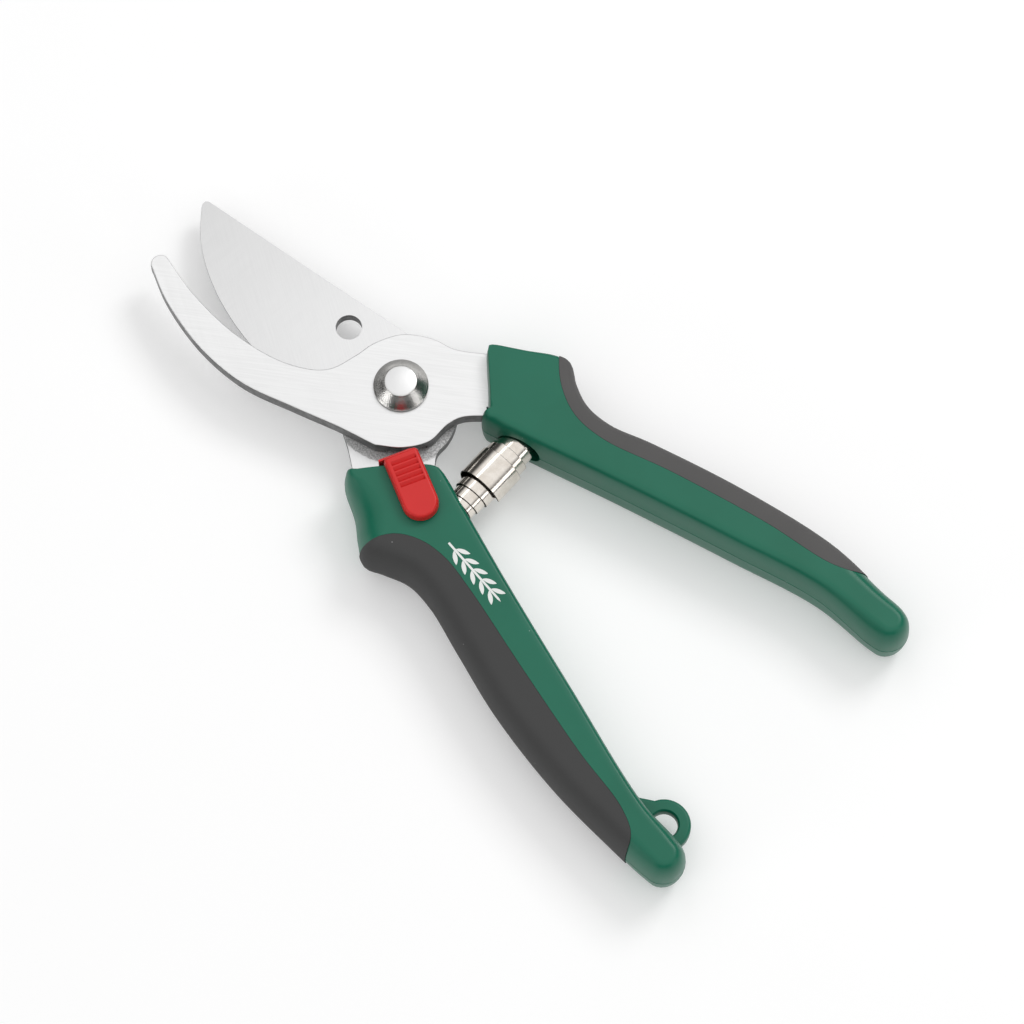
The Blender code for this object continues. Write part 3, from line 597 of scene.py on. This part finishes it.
def pivot_pieces(looks):
    seat = HOOK_TOP + GAP
    profile = [(0, 0.9), (BOLT_RADIUS - 0.6, 0.9), (BOLT_RADIUS, 1.5), (BOLT_RADIUS, seat),
               *rounding(FLANGE_RADIUS - 0.12, seat + 0.12, 0.12, -90, 0, 3),
               *rounding(FLANGE_RADIUS - 0.12, seat + 0.42, 0.12, 0, 40, 3),
               *[(6.7 - 2.5 * t + 0.1 * math.sin(math.pi * t), seat + 0.52 + 2.6 * t)
                 for t in np.linspace(0.03, 1.0, 12)],
               *rounding(3.62, seat + 2.72, 0.7, 40, 84, 6),
               (3.2, seat + 3.48), (2.2, seat + 3.62), (1.1, seat + 3.71), (0, seat + 3.74)]
    bolt = turned_solid("bolt", profile, 96, looks["bolt"])
    finish_piece(bolt, HOOK_HALF, ["pivot_bolt"])

    high = BLADE_BOTTOM - GAP
    low = high - WASHER_THICKNESS
    rim = WASHER_RADIUS
    section = [(BOLT_HOLE, low), (rim - 0.1, low), (rim, low + 0.1), (rim, high - 0.1),
               (rim - 0.1, high), (BOLT_HOLE, high)]
    washer = turned_solid("washer", section, 96, looks["zinc"])
    finish_piece(washer, HOOK_HALF, ["pivot_washer"])

    nut_top = low - GAP
    nut = plate("nut", circle((0, 0), NUT_RADIUS, 6), 0.6, nut_top, looks["zinc"])
    flat, corner = 5.3, NUT_RADIUS + 0.05
    chamfer = turned_solid("chamfer", [(0, 0.3), (flat, 0.3), (corner, 1.35), (corner, nut_top - 0.5),
                                       (corner - 0.3, nut_top + 0.2), (0, nut_top + 0.2)], 96)
    bore = turned_solid("bore", [(0, -1), (5.2, -1), (4.9, 0.75), (4.9, 1.8), (BOLT_HOLE, 1.8),
                                 (BOLT_HOLE, 9), (0, 9)], 64)
    discard(carve(nut, ("INTERSECT", chamfer), bore))
    finish_piece(nut, HOOK_HALF, ["pivot_nut"])


# ---------------------------------------------------------------- handles
# Outline of each handle at its parting face.  A point is x, y, how far the top edge stands
# in from the wall, and the power of the wall's curve: 2 is an ellipse, higher is squarer.
def rounded_end(centre, radius, start, end):
    """Control points round the rear end of a handle."""
    return [(x, y, 3.4, 2.6) for x, y in arc(centre, radius, start, end, 5)]


UPPER_OUTLINE = [
    (-19.9, -9.7, 1.2, 4.5), (-19.8, -8.2, 2.2, 3.2), (-21.6, -7.2, 2.6, 3.0),
    (-24.6, -7.9, 2.6, 4.0), (-36.0, -11.5, 2.6, 5.0), (-57.4, -18.3, 2.6, 5.0),
    (-86.7, -27.0, 2.6, 5.0), (-110.0, -33.3, 2.8, 4.0),
    *rounded_end((-127.0, -39.5), 5.5, 88, 268),
    (-121.0, -45.0, 3.8, 2.6), (-104.0, -45.2, 4.8, 2.6),
    (-78.9, -40.3, 4.8, 2.6), (-54.2, -33.0, 4.6, 2.6), (-43.7, -29.2, 4.2, 2.6),
    (-36.3, -28.8, 3.8, 2.6), (-29.9, -31.1, 3.4, 2.8), (-25.7, -33.6, 2.4, 3.0),
    (-21.9, -32.6, 2.2, 3.0), (-15.6, -28.0, 1.8, 4.0), (-9.6, -23.6, 1.2, 5.0),
    (-8.3, -21.8, 1.0, 6.0), (-9.2, -20.3, 0.8, 6.0),
]
LOWER_OUTLINE = [
    (-8.2, 23.8, 1.0, 5.0), (-6.9, 25.8, 1.6, 4.0), (-8.6, 27.8, 3.6, 2.7),
    (-16.1, 31.7, 7.0, 2.1), (-21.1, 35.5, 7.0, 2.1), (-25.3, 37.8, 5.4, 2.3),
    (-29.8, 35.9, 4.8, 2.6), (-36.2, 33.5, 4.6, 2.6), (-44.2, 33.9, 4.6, 2.6),
    (-57.2, 37.4, 4.8, 2.6), (-75.1, 42.1, 4.8, 2.6), (-97.5, 45.3, 4.8, 2.6),
    (-117.0, 45.8, 4.2, 2.6),
    *rounded_end((-128.9, 40.0), 5.6, 82, 274),
    (-117.0, 33.9, 2.8, 4.0),
    (-84.0, 25.5, 2.6, 5.0), (-55.5, 17.8, 2.6, 5.0), (-34.9, 11.8, 2.6, 5.0),
    (-24.0, 8.8, 2.4, 5.0), (-21.7, 9.2, 1.0, 6.0),
]

# Line on the face of each handle where the soft skin begins, from front to rear
UPPER_GRIP_EDGE = [(-20.8, -37.0), (-21.8, -33.6), (-24.6, -30.2), (-29.4, -26.4), (-36.7, -23.5),
                   (-45.9, -23.8), (-63.7, -29.5), (-88.8, -36.2), (-108.0, -40.0),
                   (-114.2, -43.6), (-117.0, -49.0)]
LOWER_GRIP_EDGE = [(-22.6, 41.0), (-23.7, 36.2), (-27.4, 29.3), (-33.0, 25.9), (-40.5, 24.8),
                   (-50.7, 26.3), (-73.3, 31.4), (-97.7, 36.6), (-115.0, 39.5),
                   (-121.1, 43.0), (-123.4, 51.0)]


def wall_levels(count):
    """Heights of the wall's rings as shares of the half height, closer together at the top."""
    return np.sin(np.linspace(0, math.pi / 2, count)) ** 0.8


def wall_rings(outline, half_height, levels, grow=0.0, soften=1.0):
    """Rings of a handle from its parting face up, following each point's own wall curve."""
    rings = []
    edge, power = outline[:, 2] * soften, outline[:, 3]
    for level in levels:
        curve = 1.0 - np.power(1.0 - np.power(level, power), 1.0 / power)
        ring = eased_inset(outline, edge * curve + WALL_DRAFT * level)
        rings.append((inset(ring, -grow) if grow else ring, half_height * level))
    return rings


def half_shell(name, outline, upwards, mat):
    """Front (upwards) or back shell of a handle, split at the parting face."""
    sign = 1 if upwards else -1
    walls = wall_rings(outline, HANDLE_HEIGHT / 2, wall_levels(WALL_RINGS))
    lip = [(inset(walls[0][0], 0.12), PARTING + sign * SEAM)]
    rings = lip + [(ring, PARTING + sign * max(height, SEAM + 0.1)) for ring, height in walls]
    return stack(name, rings if upwards else rings[::-1], mat)


def whole_body(name, outline, half_height, levels, grow, soften=1.0, mat=None):
    """Both halves of a handle's form in one solid."""
    upper = [(ring, PARTING + height)
             for ring, height in wall_rings(outline, half_height, levels, grow, soften)]
    lower = [(ring, PARTING - height)
             for ring, height in wall_rings(outline, half_height, levels[1:], grow, soften)]
    return stack(name, lower[::-1] + upper, mat)


def grip_area(edge, side, step, shrink=0.0):
    """Plan area of the soft skin: its edge line, closed far outside the handle."""
    line = spline(edge, step)
    outside = np.array([(edge[-1][0], side * 60.0), (edge[0][0], side * 60.0)])
    area = np.vstack([line, outside])
    if side > 0:
        area = area[::-1]
    return inset(area, shrink)


def handle(prefix, outline_points, edge, side, gap, looks):
    """The two hard shells and the soft skin of one handle, before their recesses are cut."""
    outline = spline(outline_points, 1.2, closed=True)
    coarse = spline(outline_points, 3.0, closed=True)
    front = half_shell(prefix + "_front", outline, True, looks["green"])
    back = half_shell(prefix + "_back", outline, False, looks["green"])

    core_height = HANDLE_HEIGHT / 2 - GRIP_SKIN
    core_levels = (0.0, 0.7, 1.0)
    by_skin = coarse[(coarse[:, 0] < -14.0) & (np.abs(coarse[:, 1]) > 12.0)]
    recess = plate("skin", grip_area(edge, side, 1.5), -1, HANDLE_HEIGHT + 1)
    core = whole_body("core", by_skin, core_height, core_levels, -GRIP_SKIN, 0.15)
    discard(carve(recess, core))
    carve(front, recess)
    discard(carve(back, recess))

    skin = whole_body(prefix + "_skin", outline, HANDLE_HEIGHT / 2, wall_levels(WALL_RINGS), GRIP_PROUD,
                      mat=looks[prefix + "_rubber"])
    area = plate("area", grip_area(edge, side, 1.5, gap), -2, HANDLE_HEIGHT + 2)
    clear = whole_body("clear", by_skin, core_height + GAP, core_levels, GAP - GRIP_SKIN, 0.15)
    discard(carve(skin, ("INTERSECT", area), clear))
    return front, back, skin


def along_y(x, y, z):
    """Places a solid turned about Z on the spring's axis, Z becoming Y."""
    return SPRING_X + x, z, SPRING_Z - y


def seat_cutter(floor, outwards, mouth):
    """Round recess in a handle's inner wall for the spring's end."""
    heights = [floor + outwards * h for h in (-1.1, -1.1, 0, 0, 9, 9)]
    return turned_solid("seat", list(zip((0, 1.3, 1.3, mouth, mouth, 0), heights)), 64, place=along_y)


def spring_stud(name, floor, outwards, body, node, looks):
    profile = [(0, -0.8), (1.0, -0.8), (1.0, 0.3), (3.1, 0.3), (3.1, 0.6), (3.0, 0.7), (1.9, 0.7),
               (1.9, 4.8), (1.7, 5.2), (1.3, 5.5), (0.7, 5.6), (0, 5.6)]
    stud = turned_solid(name, [(r, floor + outwards * h) for r, h in profile], 48, looks["zinc"],
                        along_y)
    finish_piece(stud, body, [node])


def hook_pocket():
    """Plan of the space in the upper head for the hook's shoulder and tang."""
    return np.vstack([[(-16.4, -4.9), (-20.5, -9.6)], hook_tang()])


def tang_cutter(tang, bottom, top):
    return plate("tang", inset(tang, -GAP), bottom, top)


def lock_box(back, front, right, left, bottom, top):
    """Box along the lock's slide, measured from the button's centre."""
    corners = on_lock([(back, right), (front, right), (front, left), (back, left)])
    return plate("space", corners, bottom, top)


def hanging_loop():
    """Loop beside the lower handle's rear end, with rounded edges, and the hole's cutter."""
    root = [(-112.0, 33.5), (-114.0, 38.0), (-127.0, 39.5)]
    outer = np.vstack([arc(LOOP_CENTRE, LOOP_RADIUS, 165, 335, 40), root])
    loop = rounded_plate("loop", outer, LOOP_BOTTOM, LOOP_TOP, LOOP_ROUNDING)
    chord = [(-120.2, 34.4), (-125.2, 35.3)]
    hole = np.vstack([arc(LOOP_CENTRE, LOOP_HOLE_RADIUS, 150, 375, 40), chord])
    flare = [(1.0, -1.0), (0.45, 0.05), (0.2, 0.3), (0.0, 0.7)]
    rings = [(inset(hole, -wide), LOOP_BOTTOM + depth) for wide, depth in flare]
    rings += [(inset(hole, -wide), LOOP_TOP - depth) for wide, depth in flare[::-1]]
    return loop, stack("loop_hole", rings)


def handles(looks):
    front, back, skin = handle("upper", UPPER_OUTLINE, UPPER_GRIP_EDGE, -1, 0.07, looks)
    seat = seat_cutter(UPPER_SEAT, 1, UPPER_MOUTH)
    tang = tang_cutter(hook_pocket(), HOOK_BOTTOM - GAP, HOOK_TOP + GAP)
    carve(front, seat, tang)
    discard(carve(back, seat, tang))
    finish_piece(front, HOOK_HALF, ["upper_front_shell"])
    finish_piece(back, HOOK_HALF, ["upper_back_shell"])
    finish_piece(skin, HOOK_HALF, ["upper_grip"])
    spring_stud("upper_stud", UPPER_SEAT, 1, HOOK_HALF, "upper_spring_stud", looks)

    front, back, skin = handle("lower", LOWER_OUTLINE, LOWER_GRIP_EDGE, 1, 0.06, looks)
    seat = seat_cutter(LOWER_SEAT, -1, LOWER_MOUTH)
    tang = tang_cutter(blade_tang(), BLADE_BOTTOM - GAP, PARTING - 0.01)
    loop, hole = hanging_loop()
    for_catch = lock_box(-6.4, 14.0, -4.0, 4.0, 8.4, 10.65)
    for_stem = lock_box(-2.9, 14.1, -3.3, 3.3, 10.3, 19.0)
    for_detent = lock_box(-2.6, 2.6, -4.9, -3.0, 10.4, 14.4)
    discard(carve(front, seat, for_catch, for_stem, for_detent)[1:])
    discard(carve(back, seat, tang, ("UNION", loop), hole))
    finish_piece(front, BLADE_HALF, ["lower_front_shell"])
    finish_piece(back, BLADE_HALF, ["lower_back_shell"])
    finish_piece(skin, BLADE_HALF, ["lower_grip"])
    spring_stud("lower_stud", LOWER_SEAT, -1, BLADE_HALF, "lower_spring_stud", looks)


# ---------------------------------------------------------------- spring
# The strip's radius in mm at each of these turns
SPRING_TURN = (-3.0, -2.46, -1.96, -1.46, -0.96, -0.46, 0.04, 0.54, 1.04, 1.54, 2.04, 2.54, 3.5)
SPRING_RADIUS = (3.45, 3.65, 3.95, 4.05, 4.4, 4.5, 5.75, 5.85, 5.3, 5.1, 4.6, 4.35, 3.5)


def volute_spring(looks, per_turn=72):
    """Strip wound into a barrel.  Turns count from the widest one: below zero towards the
    lower handle.  The outer edge of each turn shows; its inner edge is hidden by the next."""
    pitch, half, strip, hidden, edge = 2.9, 4.15, 0.28, 5.6, 0.1
    first, last = SPRING_TURN[0], SPRING_TURN[-1]
    rings = []
    for turn in np.linspace(first, last, int((last - first) * per_turn) + 1):
        shift = SPRING_MIDDLE - pitch * turn
        towards_lower, towards_upper = shift + half, shift - half
        ease = min(1.0, max(0.0, (abs(turn) - 0.5) / 0.4))
        width = 2 * half + (hidden - 2 * half) * ease
        low = towards_lower - width if turn < 0 else towards_upper
        low, high = max(low, SPRING_LOW), min(low + width, SPRING_HIGH)
        radius = np.interp(turn, SPRING_TURN, SPRING_RADIUS)
        c, s = math.cos(turn * 2 * math.pi), math.sin(turn * 2 * math.pi)
        inner, outer = radius - strip / 2, radius + strip / 2
        section = [(inner, low), (outer - edge, low), (outer, low + edge), (outer, high - edge),
                   (outer - edge, high), (inner, high)]
        rings.append([along_y(size * c - SPRING_LEAN * y, -size * s, y) for size, y in section])
    verts = [corner for ring in rings for corner in ring]
    sides = 6
    faces = [tuple(range(sides))]
    for i in range(len(rings) - 1):
        for j in range(sides):
            k = (j + 1) % sides
            start, after = sides * i, sides * (i + 1)
            faces.append((start + j, start + k, after + k, after + j))
    faces.append(tuple(range(sides * (len(rings) - 1), sides * len(rings))))
    spring = mesh_object("spring", verts, faces, looks["spring"])
    # The strip's edge faces take the dark material: painted shade between the turns.
    spring.data.materials.append(looks["spring_gap_shade"])
    for face in spring.data.polygons:
        if (face.index - 1) % sides in (0, 1, 3, 4):
            face.material_index = 1
    finish_piece(spring, HOOK_HALF, ["volute_spring"], 25.0)
    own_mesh(spring)


# ---------------------------------------------------------------- lock
def button_outline():
    """Thumb pad in plan: rounded rear, small corners in front, counter-clockwise."""
    rear = arc((-5.6, 0), PAD_RADIUS, 90, 270, 36)
    front = np.vstack([arc((6.9, -3.3), 1.2, -90, 0, 8), arc((6.9, 3.4), 1.1, 0, 90, 8)])
    side = np.array([(x, -PAD_RADIUS) for x in np.linspace(-5.0, 6.3, 12)])
    other = np.array([(x, PAD_RADIUS) for x in np.linspace(6.3, -5.0, 12)])
    return np.vstack([rear, side, front, other])


def button_rings(pad):
    """Rings of the pad from its underside, through a slight draft, to its rounded top edge."""
    rings = [(inset(pad, 0.4), BUTTON_BOTTOM), (inset(pad, 0.1), BUTTON_BOTTOM + 0.15),
             (pad, BUTTON_BOTTOM + 0.4), (inset(pad, 0.12), BUTTON_TOP - 1.2)]
    for turn in np.radians(np.linspace(15, 90, 8)):
        inwards, upwards = 1 - math.cos(turn), math.sin(turn)
        rings.append((inset(pad, 0.12 + 0.85 * inwards), BUTTON_TOP - 1.1 + 1.1 * upwards))
    return rings


def lock_button(looks):
    """Red slider with five saw-tooth grooves across its front half."""
    rings = [(on_lock(ring), z) for ring, z in button_rings(button_outline())]
    button = stack("slider", rings, looks["red"])
    stem = on_lock([(-2.5, -3), (8.6, -3), (8.6, 5.4), (8.1, 5.4), (8.1, 3), (-2.5, 3)])
    foot = on_lock([(-2.4, -2.9), (3.0, -2.9), (3.0, 2.9), (-2.4, 2.9)])
    cuts = [("UNION", plate("stem", stem, 13.6, BUTTON_BOTTOM + 0.6)),
            ("UNION", plate("foot", foot, 10.65, 14.2))]
    first, pitch, length, depth = 6.3, 1.5, 1.25, 0.65
    for groove in range(5):
        front = first - pitch * groove
        rear = front - length
        section = [(front, 0.05), (rear, 0.05), (rear, -depth), (rear + 0.3, -depth)]
        verts = []
        for across in (-3.3, 3.1):
            ahead = on_lock([(x, across) for x, _ in section])
            verts += [(*point, BUTTON_TOP + z) for point, (_, z) in zip(ahead, section)]
        faces = [(0, 1, 2, 3), (7, 6, 5, 4)]
        faces += [(i, i + 4, (i + 1) % 4 + 4, (i + 1) % 4) for i in range(4)]
        cuts.append(mesh_object("groove", verts, faces))
    discard(carve(button, *cuts))
    finish_piece(button, LOCK, ["lock_button"], 28.0)


# ---------------------------------------------------------------- printed mark
def printed_mark(looks):
    """Plain white sprig printed along the lower handle's face."""
    thick, top = 0.03, HANDLE_HEIGHT
    base, angle = np.array((-38.6, 21.6)), math.radians(175.0)
    axis = np.array((math.cos(angle), math.sin(angle)))
    cross = np.array((-axis[1], axis[0]))
    shapes = [[(0, -0.28), (18.6, -0.28), (19.6, 0.0), (18.6, 0.28), (0, 0.28)]]
    length, half_width, bend, lean = 4.4, 0.75, 0.55, math.radians(38)
    there = [(t, 1) for t in np.linspace(0, 1, 13)]
    back_again = [(t, -1) for t in np.linspace(1, 0, 13)[1:-1]]
    leaf = [(length * t, edge * half_width * math.sin(math.pi * t) ** 0.8 + bend * t)
            for t, edge in there + back_again]
    for pair in range(5):
        root = 2.4 + 3.3 * pair
        for side in (-1, 1):
            shapes.append([(root + x * math.cos(lean) - y * math.sin(lean),
                            side * (0.45 + x * math.sin(lean) + y * math.cos(lean)) * 0.62)
                           for x, y in leaf])
    verts, faces = [], []
    for shape in shapes:
        points = [base + axis * u + cross * v for u, v in shape]
        start, count = len(verts), len(points)
        verts += [(*p, top) for p in points] + [(*p, top + thick) for p in points]
        faces += [tuple(range(start, start + count)), tuple(range(start + count, start + 2 * count))]
        for i in range(count):
            low, after = start + i, start + (i + 1) % count
            faces.append((low, after, after + count, low + count))
    mark = mesh_object("printed_mark", verts, faces, looks["print"])
    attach(mark, BLADE_HALF)


# ---------------------------------------------------------------- hidden pieces
def hidden_pieces(looks):
    """CAD nodes that keep their shape, inside the handles and the nut."""
    steel = ("upper_tang_pin", "lower_tang_pin", "lock_catch", "lock_screw", "lock_detent_spring")
    for node in (*steel, "nut_lock_ring"):
        obj = frame["nodes"][node]
        obj.data.materials.clear()
        obj.data.materials.append(looks["zinc" if node in steel else "nylon"])


# ---------------------------------------------------------------- studio
def softbox(name, aim, azimuth, elevation, distance, size, power):
    """Rectangular soft light, placed round the aim point; from azimuth 0 it shines along +Y."""
    a, e = math.radians(azimuth), math.radians(elevation)
    back = Vector((math.sin(a) * math.cos(e), -math.cos(a) * math.cos(e), math.sin(e)))
    data = bpy.data.lights.new(name, "AREA")
    data.shape = "RECTANGLE"
    data.size, data.size_y = size
    data.energy = power
    light = bpy.data.objects.new(name, data)
    light.location = aim + back * distance
    light.rotation_euler = (-back).to_track_quat("-Z", "Y").to_euler()
    bpy.context.scene.collection.objects.link(light)


def studio():
    floor_mat, tree = new_material("floor_white")
    cloud = noise(tree, 60.0)
    colour = mix(tree, cloud, (0.77, 0.77, 0.77), (0.79, 0.79, 0.79))
    finish_material(floor_mat, colour, remap(tree, cloud, 0, 1, 0.85, 0.9), None,
                    Emission_Color=(1.0, 1.0, 1.0, 1.0), Emission_Strength=0.24)
    half = 2.5
    mesh = bpy.data.meshes.new("floor")
    mesh.from_pydata([(-half, -half, 0), (half, -half, 0), (half, half, 0), (-half, half, 0)], [],
                     [(0, 1, 2, 3)])
    mesh.materials.append(floor_mat)
    floor = bpy.data.objects.new("floor", mesh)
    bpy.context.scene.collection.objects.link(floor)

    aim = Vector((0, 0, 0.01))
    softbox("key", aim, 0, 48, 1.5, (0.55, 0.55), 6.0)
    softbox("streak", aim, 62, 58, 1.5, (0.22, 0.22), 0.32)
    softbox("left_strip", aim, 165, 15, 1.4, (0.7, 0.4), 2.2)
    softbox("right_strip", aim, 285, 15, 1.4, (0.7, 0.4), 1.6)

    world = bpy.data.worlds.new("studio")
    world.use_nodes = True
    background = world.node_tree.nodes["Background"]
    height = add(world.node_tree, "ShaderNodeTexCoord").outputs["Generated"]
    parts = add(world.node_tree, "ShaderNodeSeparateXYZ", Vector=height).outputs
    glow = remap(world.node_tree, parts[2], 0.38, 0.7, 0.06, 1.0, smooth=True)
    tint = mix(world.node_tree, glow, (0.0, 0.0, 0.0), (1.0, 1.0, 1.0))
    world.node_tree.links.new(tint, background.inputs["Color"])
    bpy.context.scene.world = world
    bpy.context.scene.view_settings.view_transform = "Standard"


def camera():
    """The camera looks down from 70 degrees, with the bolt's head up and left of the middle."""
    azimuth, elevation, distance = math.radians(225), math.radians(70), 1.0
    bolt_left, bolt_up = 0.02729, 0.03093
    back = Vector((math.sin(azimuth) * math.cos(elevation), -math.cos(azimuth) * math.cos(elevation),
                   math.sin(elevation)))
    turn = (-back).to_track_quat("-Z", "Y")
    right, up = turn @ Vector((1, 0, 0)), turn @ Vector((0, 1, 0))
    data = bpy.data.cameras.new("camera")
    data.lens, data.sensor_width = 143.0, 36.0
    data.clip_start, data.clip_end = 0.05, 20.0
    cam = bpy.data.objects.new("camera", data)
    hub = Vector((*PIVOT, HOOK_TOP * MM))
    cam.location = hub + (back + right * bolt_left - up * bolt_up) * distance
    cam.rotation_euler = turn.to_euler()
    bpy.context.scene.collection.objects.link(cam)
    bpy.context.scene.camera = cam


# ---------------------------------------------------------------- whole scene
def build():
    looks = finishes()
    hook_blade(looks["hook"], looks["edge"])
    cutting_blade(looks["blade"], looks["edge"])
    pivot_pieces(looks)
    handles(looks)
    volute_spring(looks)
    lock_button(looks)
    printed_mark(looks)
    hidden_pieces(looks)
    studio()
    camera()


build()
